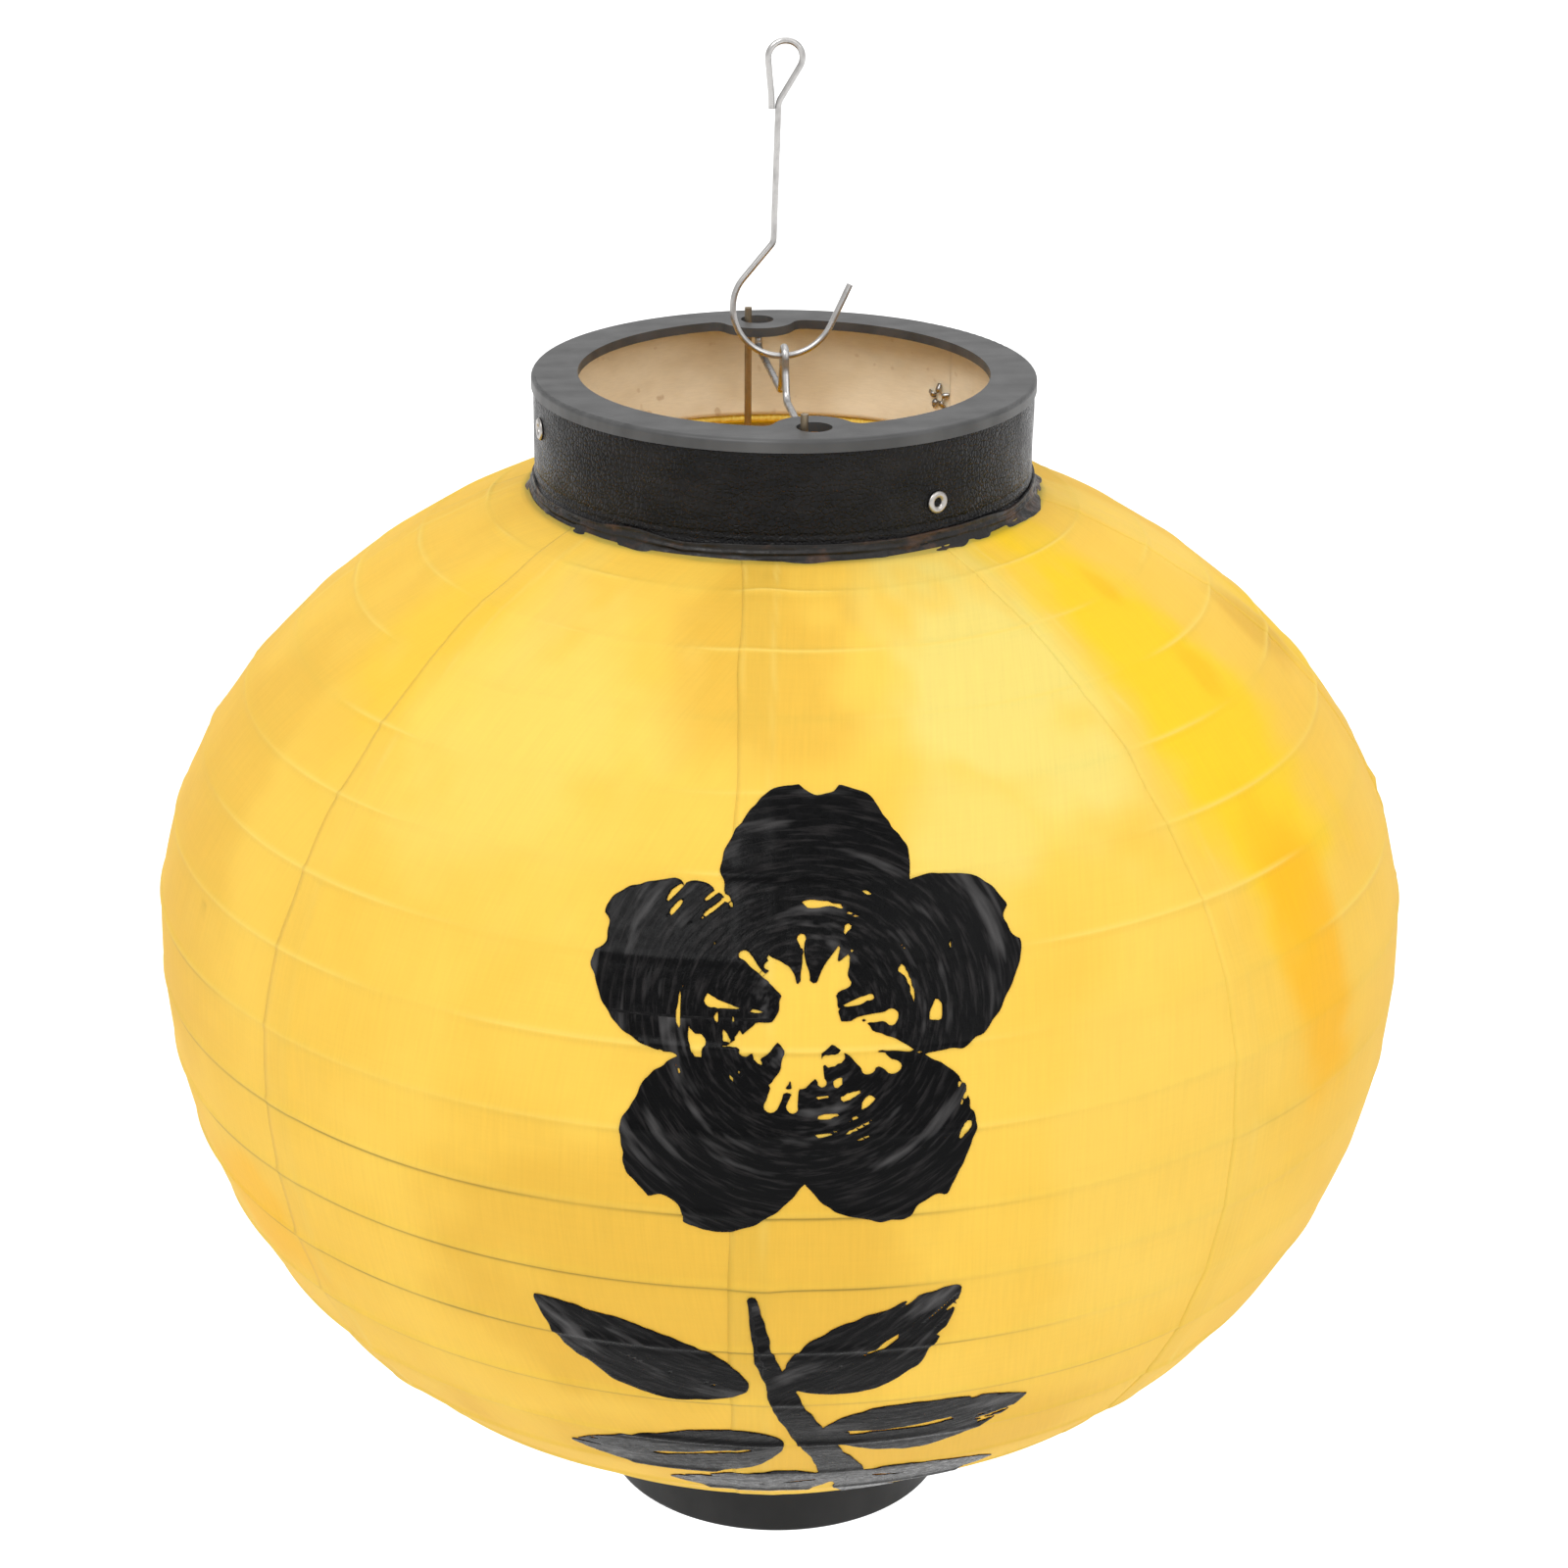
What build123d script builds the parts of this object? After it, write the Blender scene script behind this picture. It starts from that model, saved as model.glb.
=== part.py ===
"""Folding cloth lantern on a wire hook. Millimetres, +Z up.

The origin is the hang point: the inside top of the hook's eye, where the nail bears. The body is
a stack of thin hoops under eight cloth gores, between a collar at the top and a ring at the
bottom. Two stay rods stand on the bottom ring and run up through holes in the collar's lugs, so
the bottom ring can be pushed up and the body folds flat.
"""

import os
from math import atan2, cos, hypot, radians, sin

from build123d import *

os.makedirs("parts", exist_ok=True)

# Body: the profile is an oval arch above the widest ring and a fuller one below it
body_radius = 150.0
upper_reach = 114.4
upper_power = 1.89
lower_reach = 138.0
lower_power = 2.18
neck_height = 103.1
foot_depth = 133.0
cloth_thickness = 0.5
gore_count = 8
first_seam_angle = -98.7

# Hoops: wire rings, evenly spaced along the cloth
hoop_count = 18
first_hoop_at = 9.5
hoop_pitch = 18.05
hoop_wire = 1.3
end_hoop_wire = 2.0
hoop_gap = 0.3

# Heights, down from the hang point
rim_top_z = -75.0
equator_z = rim_top_z - 130.5
neck_z = equator_z + neck_height
foot_z = equator_z - foot_depth
base_z = equator_z - 157.4

# Collar and bottom ring: both have a moulded rim, a band, a liner and a glued cloth edge
top_radius = 58.6
bottom_radius = 43.4
rim_width = 10.8
rim_plate = 2.2
rim_skirt = 3.0
rim_rounding = 1.0
skirt_wall = 0.4
band_wall = 1.2
liner_wall = 0.9
liner_gap = 0.1
binding_wall = 0.6
binding_height = 4.2
binding_flare = 2.6

# Lugs: round tongues on the rims' inner edges
lug_radius = 9.2
lug_root_radius = 3.0
lug_hole_radius = 4.0
lug_offset = 0.7

# Eyelets through band and liner: (angle round +Z, depth below the rim's top)
eyelet_places = [(-62.0, 17.2), (39.0, 17.2), (-171.0, 9.8)]
eyelet_flange_radius = 2.5
eyelet_barrel_radius = 1.6
eyelet_bore_radius = 1.1
eyelet_flange = 0.5

# Wires
hook_wire = 1.45
bail_wire_size = 1.75
stay_wire = 1.75
stay_x = -2.2
stay_tip = 3.0

top_hole_y = top_radius - rim_width + lug_offset
bottom_hole_y = bottom_radius - rim_width + lug_offset
top_band_radius = top_radius - skirt_wall
bottom_band_radius = bottom_radius


def body_r(height):
    """Outer radius of the cloth at a height above the widest ring (negative below it)."""
    reach = upper_reach if height >= 0 else lower_reach
    power = upper_power if height >= 0 else lower_power
    return body_radius * (1 - (abs(height) / reach) ** power) ** (1 / power)


def height_along(distance):
    """Height above the widest ring, at a distance down the cloth from the neck."""
    step = 0.1
    height = neck_height
    gone = 0.0
    while gone < distance and height > -foot_depth:
        gone += hypot(body_r(height - step) - body_r(height), step)
        height -= step
    return max(height, -foot_depth)


def inside_cloth(height, depth):
    """(radius, z) of a point that deep inside the cloth, measured square to its surface."""
    nudge = 0.05
    rise = body_r(height - nudge) - body_r(height + nudge)
    slope = atan2(rise, 2 * nudge)
    return body_r(height) - depth * cos(slope), equator_z + height - depth * sin(slope)


def radial_plane(angle):
    """Plane through the Z axis: local x runs outward at that angle, local y runs up."""
    a = radians(angle)
    return Plane(origin=(0, 0, 0), x_dir=(cos(a), sin(a), 0), z_dir=(sin(a), -cos(a), 0))


# ---------------------------------------------------------------- hanging hook
# One wire in the XZ plane. Heights here are above the rim's top. It runs from the open tip, round
# the J, up the shank and round the teardrop eye to the short tail beside the shank.
hook_route = [
    (15.1, 19.8, 0),
    (7.6, 3.4, 12.2),
    (-12.0, 3.4, 11.6),
    (-12.0, 19.0, 10.0),
    (-2.7, 30.1, 2.5),
    (-1.8, 62.0, 4.0),
    (6.5, 75.725, 3.8),
    (-4.6, 75.725, 3.8),
    (-3.4, 63.4, 6.0),
    (-3.35, 60.6, 0),
]

with BuildPart() as hanging_hook:
    with BuildLine(Plane.XZ) as hook_line:
        FilletPolyline(
            *[(x, rim_top_z + height) for x, height, _ in hook_route],
            radius=[bend for _, _, bend in hook_route[1:-1]],
        )
    with BuildSketch(Plane(origin=hook_line.line @ 0, z_dir=hook_line.line % 0)):
        Circle(hook_wire / 2)
    sweep()
hanging_hook.part.label = "hanging_hook"
export_step(hanging_hook.part, "parts/hanging_hook.step")

# ---------------------------------------------------------------- bail wire
# One wire in the YZ plane: a foot under each lug, a step down, a straight run to the middle and a
# narrow eye standing up over the hook. Heights are above the rim's top.
foot_height = -rim_plate - 0.3 - bail_wire_size / 2
half_bail = [
    (55.0, foot_height, 0),
    (45.9, foot_height, 1.35),
    (45.9, foot_height - 2.9, 1.35),
    (4.6, foot_height - 2.9, 3.0),
    (2.1, 0.4, 5.0),
    (2.1, 5.3, 2.05),
]
bail_route = half_bail + [(-y, height, bend) for y, height, bend in reversed(half_bail)]

with BuildPart() as bail_wire:
    with BuildLine(Plane.YZ) as bail_line:
        FilletPolyline(
            *[(y, rim_top_z + height) for y, height, _ in bail_route],
            radius=[bend for _, _, bend in bail_route[1:-1]],
        )
    with BuildSketch(Plane(origin=bail_line.line @ 0, z_dir=bail_line.line % 0)):
        Circle(bail_wire_size / 2)
    sweep()
bail_wire.part.label = "bail_wire"
export_step(bail_wire.part, "parts/bail_wire.step")


# ---------------------------------------------------------------- rims
def rim_outline(outline, radius, hole_y):
    """Draws a rim's face in the sketch outline: a flat ring with two lugs, each with a hole."""
    inner = radius - rim_width
    Circle(radius)
    Circle(inner, mode=Mode.SUBTRACT)
    with Locations((0, hole_y), (0, -hole_y)):
        Circle(lug_radius)
    inner_corners = [v for v in outline.vertices() if abs(hypot(v.X, v.Y) - inner) < 0.1]
    roots = [v for v in inner_corners if abs(v.X) < radius / 2]
    fillet(roots, radius=lug_root_radius)
    with Locations((0, hole_y), (0, -hole_y)):
        Circle(lug_hole_radius, mode=Mode.SUBTRACT)


# The top rim's skirt is a thin wall that hangs down round the band's edge
with BuildPart() as top_rim:
    with BuildSketch(Plane.XY.offset(rim_top_z - rim_plate)) as top_outline:
        rim_outline(top_outline, top_radius, top_hole_y)
    extrude(amount=rim_plate)
    with BuildSketch(Plane.XY.offset(rim_top_z - rim_skirt)):
        Circle(top_radius)
        Circle(top_radius - skirt_wall, mode=Mode.SUBTRACT)
    extrude(amount=rim_skirt)
    top_circles = top_rim.edges().filter_by(GeomType.CIRCLE).group_by(Axis.Z)[-1]
    fillet(top_circles.sort_by(SortBy.RADIUS)[-1], radius=rim_rounding)
top_rim.part.label = "top_rim"
export_step(top_rim.part, "parts/top_rim.step")

# The bottom rim is flush with its band
with BuildPart() as bottom_rim:
    with BuildSketch(Plane.XY.offset(base_z)) as bottom_outline:
        rim_outline(bottom_outline, bottom_radius, bottom_hole_y)
    extrude(amount=rim_plate)
    bottom_circles = bottom_rim.edges().filter_by(GeomType.CIRCLE).group_by(Axis.Z)[0]
    fillet(bottom_circles.sort_by(SortBy.RADIUS)[-1], radius=rim_rounding)
bottom_rim.part.label = "bottom_rim"
export_step(bottom_rim.part, "parts/bottom_rim.step")


# ---------------------------------------------------------------- eyelets
def eyelet_plane(angle, depth, radius):
    """Plane on the band where an eyelet sits, facing outward."""
    a = radians(angle)
    place = (radius * cos(a), radius * sin(a), rim_top_z - depth)
    return Plane(origin=place, x_dir=(-sin(a), cos(a), 0), z_dir=(cos(a), sin(a), 0))


eyelet_depth = band_wall + liner_gap + liner_wall
liner_inner_radius = top_band_radius - eyelet_depth

with BuildPart() as top_eyelets:
    for angle, depth in eyelet_places:
        seat = eyelet_plane(angle, depth, top_band_radius)
        with BuildSketch(seat):
            Circle(eyelet_flange_radius)
            Circle(eyelet_bore_radius, mode=Mode.SUBTRACT)
        extrude(amount=eyelet_flange)
        with BuildSketch(seat):
            Circle(eyelet_barrel_radius)
            Circle(eyelet_bore_radius, mode=Mode.SUBTRACT)
        extrude(amount=-eyelet_depth - eyelet_flange)
        with BuildSketch(seat.offset(-eyelet_depth - eyelet_flange)):
            Circle(eyelet_flange_radius)
            Circle(eyelet_bore_radius, mode=Mode.SUBTRACT)
        extrude(amount=eyelet_flange * 0.7)
top_eyelets.part.label = "top_eyelets"
export_step(top_eyelets.part, "parts/top_eyelets.step")

# ---------------------------------------------------------------- collar strips
top_strip_low = neck_z + 1.2
top_strip_high = rim_top_z - rim_plate
bottom_strip_low = base_z + rim_plate
bottom_strip_high = foot_z + 0.8


def strip_section(outer, wall, low, high):
    """Section of a strip bent round into a ring, in the XZ plane."""
    with Locations((outer - wall / 2, (low + high) / 2)):
        Rectangle(wall, high - low)


with BuildPart() as top_band:
    with BuildSketch(Plane.XZ):
        strip_section(top_band_radius, band_wall, top_strip_low, top_strip_high)
    revolve(axis=Axis.Z)
    for angle, depth in eyelet_places:
        with BuildSketch(eyelet_plane(angle, depth, top_band_radius)):
            Circle(eyelet_barrel_radius)
        extrude(amount=2 * band_wall, both=True, mode=Mode.SUBTRACT)
top_band.part.label = "top_band"
export_step(top_band.part, "parts/top_band.step")

with BuildPart() as top_liner:
    with BuildSketch(Plane.XZ):
        strip_section(liner_inner_radius + liner_wall, liner_wall, top_strip_low, top_strip_high)
    revolve(axis=Axis.Z)
    for angle, depth in eyelet_places:
        with BuildSketch(eyelet_plane(angle, depth, liner_inner_radius)):
            Circle(eyelet_barrel_radius)
        extrude(amount=2 * liner_wall, both=True, mode=Mode.SUBTRACT)
top_liner.part.label = "top_liner"
export_step(top_liner.part, "parts/top_liner.step")

with BuildPart() as bottom_band:
    with BuildSketch(Plane.XZ):
        strip_section(bottom_band_radius, band_wall, bottom_strip_low, bottom_strip_high)
    revolve(axis=Axis.Z)
bottom_band.part.label = "bottom_band"
export_step(bottom_band.part, "parts/bottom_band.step")

with BuildPart() as bottom_liner:
    with BuildSketch(Plane.XZ):
        outer = bottom_band_radius - band_wall - liner_gap
        strip_section(outer, liner_wall, bottom_strip_low, bottom_strip_high - 2)
    revolve(axis=Axis.Z)
bottom_liner.part.label = "bottom_liner"
export_step(bottom_liner.part, "parts/bottom_liner.step")


# ---------------------------------------------------------------- glued cloth edges
def binding_points(inner, cloth_z, way):
    """Corners of a glued cloth edge: up the band, then flared out over the cloth. way is 1 or -1."""
    flared = inner + binding_wall + binding_flare
    return [
        (inner, cloth_z + way * binding_height),
        (inner + binding_wall, cloth_z + way * binding_height),
        (inner + binding_wall, cloth_z + way * 1.6),
        (flared, cloth_z + way * 0.6),
        (flared, cloth_z + way * 0.1),
        (inner, cloth_z + way * 0.9),
    ]


with BuildPart() as top_binding:
    with BuildSketch(Plane.XZ):
        with BuildLine():
            Polyline(*binding_points(top_band_radius, neck_z, 1), close=True)
        make_face()
    revolve(axis=Axis.Z)
top_binding.part.label = "top_binding"
export_step(top_binding.part, "parts/top_binding.step")

with BuildPart() as bottom_binding:
    with BuildSketch(Plane.XZ):
        with BuildLine():
            Polyline(*binding_points(bottom_band_radius, foot_z, -1), close=True)
        make_face()
    revolve(axis=Axis.Z)
bottom_binding.part.label = "bottom_binding"
export_step(bottom_binding.part, "parts/bottom_binding.step")

# ---------------------------------------------------------------- hoops
hoop_depth = cloth_thickness + hoop_gap + hoop_wire / 2
hoop_heights = [height_along(first_hoop_at + hoop_pitch * i) for i in range(hoop_count)]

for number, height in enumerate(hoop_heights, start=1):
    with BuildPart() as hoop:
        with BuildSketch(Plane.XZ):
            with Locations(inside_cloth(height, hoop_depth)):
                Circle(hoop_wire / 2)
        revolve(axis=Axis.Z)
    hoop.part.label = f"hoop_{number:02d}"
    export_step(hoop.part, f"parts/hoop_{number:02d}.step")

end_hoop_radius = end_hoop_wire / 2
with BuildPart() as top_end_hoop:
    with BuildSketch(Plane.XZ):
        with Locations((top_band_radius - band_wall / 2, neck_z + 0.1)):
            Circle(end_hoop_radius)
    revolve(axis=Axis.Z)
top_end_hoop.part.label = "top_end_hoop"
export_step(top_end_hoop.part, "parts/top_end_hoop.step")

with BuildPart() as bottom_end_hoop:
    with BuildSketch(Plane.XZ):
        with Locations((bottom_band_radius - band_wall / 2, bottom_strip_high + end_hoop_radius)):
            Circle(end_hoop_radius)
    revolve(axis=Axis.Z)
bottom_end_hoop.part.label = "bottom_end_hoop"
export_step(bottom_end_hoop.part, "parts/bottom_end_hoop.step")

# ---------------------------------------------------------------- cloth gores
profile_count = 16
cloth_length = first_hoop_at + hoop_pitch * hoop_count
profile_heights = [height_along(cloth_length * i / profile_count) for i in range(profile_count)]
profile_heights += [-foot_depth]
outer_profile = [inside_cloth(height, 0) for height in profile_heights]
inner_profile = [inside_cloth(height, cloth_thickness) for height in profile_heights]
gore_angle = 360 / gore_count

for number in range(1, gore_count + 1):
    seam = first_seam_angle + gore_angle * (number - 1)
    with BuildPart() as gore:
        with BuildSketch(radial_plane(seam)):
            with BuildLine():
                outside = Spline(*outer_profile)
                inside = Spline(*inner_profile)
                Line(outside @ 0, inside @ 0)
                Line(outside @ 1, inside @ 1)
            make_face()
        revolve(axis=Axis.Z, revolution_arc=gore_angle)
    gore.part.label = f"gore_{number}"
    export_step(gore.part, f"parts/gore_{number}.step")

# ---------------------------------------------------------------- stay rods
# Each stands on the bottom rim beside its lug hole, steps out round the bottom liner and runs
# straight up through the collar's lug hole.
stay_shoulder = base_z + rim_plate + stay_wire / 2
stay_route = [
    (top_hole_y, rim_top_z + stay_tip, 0),
    (top_hole_y, equator_z - 103, 14),
    (bottom_hole_y + 6.0, equator_z - 128, 10),
    (bottom_hole_y + 6.0, stay_shoulder, 1.6),
    (bottom_hole_y, stay_shoulder, 1.3),
    (bottom_hole_y, base_z + 0.6, 0),
]

for name, side in (("stay_front", -1), ("stay_rear", 1)):
    with BuildPart() as stay:
        with BuildLine(Plane.YZ.offset(stay_x)) as stay_line:
            FilletPolyline(
                *[(side * y, z) for y, z, _ in stay_route],
                radius=[bend for _, _, bend in stay_route[1:-1]],
            )
        with BuildSketch(Plane(origin=stay_line.line @ 0, z_dir=stay_line.line % 0)):
            Circle(stay_wire / 2)
        sweep()
    stay.part.label = name
    export_step(stay.part, f"parts/{name}.step")
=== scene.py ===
"""Folding cloth lantern: the looks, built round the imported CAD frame. Metres, +Z up.

The cloth is eight overlapping gores over the hoops. It has its own surface function, in (angle,
bay) coordinates, which the cloth and the painted motif on it share. The collar's band, liner,
glued edge and eyelets are remade with the detail that the CAD leaves out. The rims and wires are
the CAD's own, with new materials.
"""

import math

import bpy
import numpy as np
from mathutils import Matrix, Vector


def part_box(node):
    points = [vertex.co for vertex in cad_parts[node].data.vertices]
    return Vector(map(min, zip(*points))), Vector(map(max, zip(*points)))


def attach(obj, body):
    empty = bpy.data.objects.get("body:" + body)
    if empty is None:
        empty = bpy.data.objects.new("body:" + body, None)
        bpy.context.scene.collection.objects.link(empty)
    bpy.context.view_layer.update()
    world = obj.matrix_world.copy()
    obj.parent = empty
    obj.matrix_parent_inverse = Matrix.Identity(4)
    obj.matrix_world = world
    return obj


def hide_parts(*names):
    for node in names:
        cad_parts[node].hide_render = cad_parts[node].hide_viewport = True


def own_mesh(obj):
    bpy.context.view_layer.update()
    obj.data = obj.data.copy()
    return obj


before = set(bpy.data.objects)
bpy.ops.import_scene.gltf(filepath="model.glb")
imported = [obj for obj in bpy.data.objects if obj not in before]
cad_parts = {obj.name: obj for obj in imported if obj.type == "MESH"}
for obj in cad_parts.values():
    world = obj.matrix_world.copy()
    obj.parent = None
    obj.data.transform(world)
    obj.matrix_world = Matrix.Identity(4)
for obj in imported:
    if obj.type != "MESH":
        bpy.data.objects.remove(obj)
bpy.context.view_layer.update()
MM = 0.001

# ------------------------------------------------------------------ sizes read from the frame
rim_top_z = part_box("top_rim")[1].z
band_low, band_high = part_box("top_band")
base_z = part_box("bottom_rim")[0].z
gore_low, gore_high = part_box("gore_1")
band_radius = band_high.x
neck_z, foot_z = gore_high.z, gore_low.z
# The cloth's two ends run in under the glued edges, so that no gap shows between them.
NECK_UNDER_GLUE = 2.0 * MM
FOOT_UNDER_GLUE = 2.3 * MM
neck_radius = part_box("top_binding")[1].x - NECK_UNDER_GLUE
foot_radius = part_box("bottom_binding")[1].x - FOOT_UNDER_GLUE

hoop_names = sorted(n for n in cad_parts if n.startswith("hoop_"))
CLOTH_OFF_HOOP = 1.35 * MM  # from the middle of a hoop's wire out to the cloth's face
VIEW_TURN = -8.0  # the camera's azimuth in degrees; the lugs lie on the Y axis
FRONT = math.radians(VIEW_TURN - 90)  # the angle round Z that faces the camera
GORES = 8
SEAM_LEFT_OF_FRONT = 0.7  # degrees
FIRST_SEAM = FRONT - math.radians(SEAM_LEFT_OF_FRONT)
STRIP = 8 * MM  # the overlap where one gore is glued on the next


# ------------------------------------------------------------------ smooth noise
def lattice(seed):
    return np.random.default_rng(seed).random((256, 256)) * 2 - 1


def noise(x, y, seed, wrap=256):
    """Smooth noise from -1 to 1 at (x, y); it repeats in x every wrap cells."""
    table = lattice(seed)
    x, y = np.broadcast_arrays(np.asarray(x, float), np.asarray(y, float))
    xi, yi = np.floor(x).astype(int), np.floor(y).astype(int)
    fx, fy = x - xi, y - yi
    fx, fy = fx * fx * (3 - 2 * fx), fy * fy * (3 - 2 * fy)
    x0, x1 = xi % wrap % 256, (xi + 1) % wrap % 256
    y0, y1 = yi % 256, (yi + 1) % 256
    low = table[x0, y0] * (1 - fx) + table[x1, y0] * fx
    high = table[x0, y1] * (1 - fx) + table[x1, y1] * fx
    return low * (1 - fy) + high * fy


def step(x, low, high):
    """0 below low, 1 above high, smooth between."""
    t = np.clip((np.asarray(x, float) - low) / (high - low), 0, 1)
    return t * t * (3 - 2 * t)


# ------------------------------------------------------------------ meshes
def new_piece(name, points, faces, smooth=True):
    mesh = bpy.data.meshes.new(name)
    mesh.from_pydata([tuple(p) for p in points], [], faces)
    mesh.validate()
    mesh.polygons.foreach_set("use_smooth", [smooth] * len(mesh.polygons))
    obj = bpy.data.objects.new(name, mesh)
    bpy.context.scene.collection.objects.link(obj)
    return obj


def grid_normals(grid, closed=False):
    """Unit normals of a (rows, columns, 3) grid of points."""
    down = np.gradient(grid, axis=0)
    if closed:
        across = (np.roll(grid, -1, axis=1) - np.roll(grid, 1, axis=1)) / 2
    else:
        across = np.gradient(grid, axis=1)
    normal = np.cross(down, across)
    return normal / np.maximum(np.linalg.norm(normal, axis=2, keepdims=True), 1e-12)


def grid_faces(rows, columns, start=0, closed=False, flip=False):
    faces = []
    last = columns if closed else columns - 1
    for i in range(rows - 1):
        for j in range(last):
            k = (j + 1) % columns
            quad = (
                start + i * columns + j,
                start + (i + 1) * columns + j,
                start + (i + 1) * columns + k,
                start + i * columns + k,
            )
            faces.append(quad[::-1] if flip else quad)
    return faces


def shell(name, outer, thickness, closed=False):
    """A closed thin sheet: the outer grid, a copy of it that much deeper, and the edges between."""
    rows, columns = outer.shape[:2]
    normal = grid_normals(outer, closed)
    inner = outer - normal * thickness
    count = rows * columns
    faces = grid_faces(rows, columns, closed=closed)
    faces += grid_faces(rows, columns, start=count, closed=closed, flip=True)
    faces_in_sheets = len(faces)
    last = columns if closed else columns - 1
    for row, flip in ((0, False), (rows - 1, True)):
        for j in range(last):
            k = (j + 1) % columns
            a, b = row * columns + j, row * columns + k
            quad = (a, b, b + count, a + count)
            faces.append(quad[::-1] if flip else quad)
    if not closed:
        for column, flip in ((0, True), (columns - 1, False)):
            for i in range(rows - 1):
                a, b = i * columns + column, (i + 1) * columns + column
                quad = (a, b, b + count, a + count)
                faces.append(quad[::-1] if flip else quad)
    points = np.concatenate([outer.reshape(-1, 3), inner.reshape(-1, 3)])
    piece = new_piece(name, points, faces)
    smooth = [k < faces_in_sheets for k in range(len(faces))]
    piece.data.polygons.foreach_set("use_smooth", smooth)
    return piece


def store(obj, name, values):
    """A vector for each point of the mesh, which materials read by that name."""
    attribute = obj.data.attributes.new(name, "FLOAT_VECTOR", "POINT")
    attribute.data.foreach_set("vector", np.asarray(values, np.float32).ravel())


# ------------------------------------------------------------------ the body's surface
def hoop_middle(name):
    """(radius, height) of the middle of a hoop's wire."""
    low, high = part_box(name)
    wire = high.z - low.z
    return max(high.x, high.y, -low.x, -low.y) - wire / 2, (low.z + high.z) / 2


def cloth_profile():
    """(radius, height) down the cloth: at the neck, at each hoop and at the foot."""
    middles = np.array([hoop_middle(name) for name in hoop_names])
    neck = np.array([(neck_radius, neck_z)])
    foot = np.array([(foot_radius, foot_z)])
    line = np.concatenate([neck, middles, foot])
    along = np.gradient(line, axis=0)
    along /= np.linalg.norm(along, axis=1, keepdims=True)
    outward = np.stack([-along[:, 1], along[:, 0]], axis=1)
    line[1:-1] += outward[1:-1] * CLOTH_OFF_HOOP
    return line


ROUNDNESS = 0.3  # 0 is straight between hoops, 1 a full curve


def smooth_line(line, bay):
    """A curve through the profile's points that stays a little flatter between hoops."""
    k = np.clip(np.floor(bay).astype(int), 0, len(line) - 2)
    t = (bay - k)[..., None]
    before, here = line[np.maximum(k - 1, 0)], line[k]
    there, after = line[k + 1], line[np.minimum(k + 2, len(line) - 1)]
    rounded = 0.5 * (
        2 * here
        + (there - before) * t
        + (2 * before - 5 * here + 4 * there - after) * t**2
        + (3 * here - before - 3 * there + after) * t**3
    )
    flat = here + (there - here) * t
    return rounded * ROUNDNESS + flat * (1 - ROUNDNESS)


profile_points = cloth_profile()
BAYS = len(profile_points) - 1
fine_bay = np.linspace(0, BAYS, BAYS * 40 + 1)
fine_line = smooth_line(profile_points, fine_bay)
fine_run = np.concatenate([[0], np.cumsum(np.linalg.norm(np.diff(fine_line, axis=0), axis=1))])
slope = np.gradient(fine_line, axis=0)
slope /= np.linalg.norm(slope, axis=1, keepdims=True)
CLOTH_LENGTH = fine_run[-1]
BAY_LENGTH = float(CLOTH_LENGTH / MM / BAYS)
# Bumps and snags: (degrees right of the front, bay, size, height), sizes in millimetres.
SNAGS = ((87.0, 6.6, 2.2, 0.9), (52.0, 15.6, 3.0, 0.8), (-63.0, 7.2, 0.8, -0.25))


def wrap_angle(angle):
    return (angle + math.pi) % (2 * math.pi) - math.pi


def crease_show(angle, hoop):
    """How clearly the cloth creases over a hoop (numbered from the neck), by angle round it."""
    patchy = noise(angle / (2 * math.pi) * 22, hoop * 3.7, 11, 22)
    seam = (angle - FIRST_SEAM) * GORES / (2 * math.pi)
    by_seam = np.exp(-(((seam - np.round(seam)) / 0.28) ** 2))
    side = 0.5 + 0.5 * np.cos(angle - (FRONT - math.radians(45)))
    lower = step(hoop, 5, 10)
    show = 0.22 + 0.65 * patchy + 0.95 * side**2 * lower + 0.30 * by_seam * (1 - lower)
    return np.clip(show, 0.03, 1.25)


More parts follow.
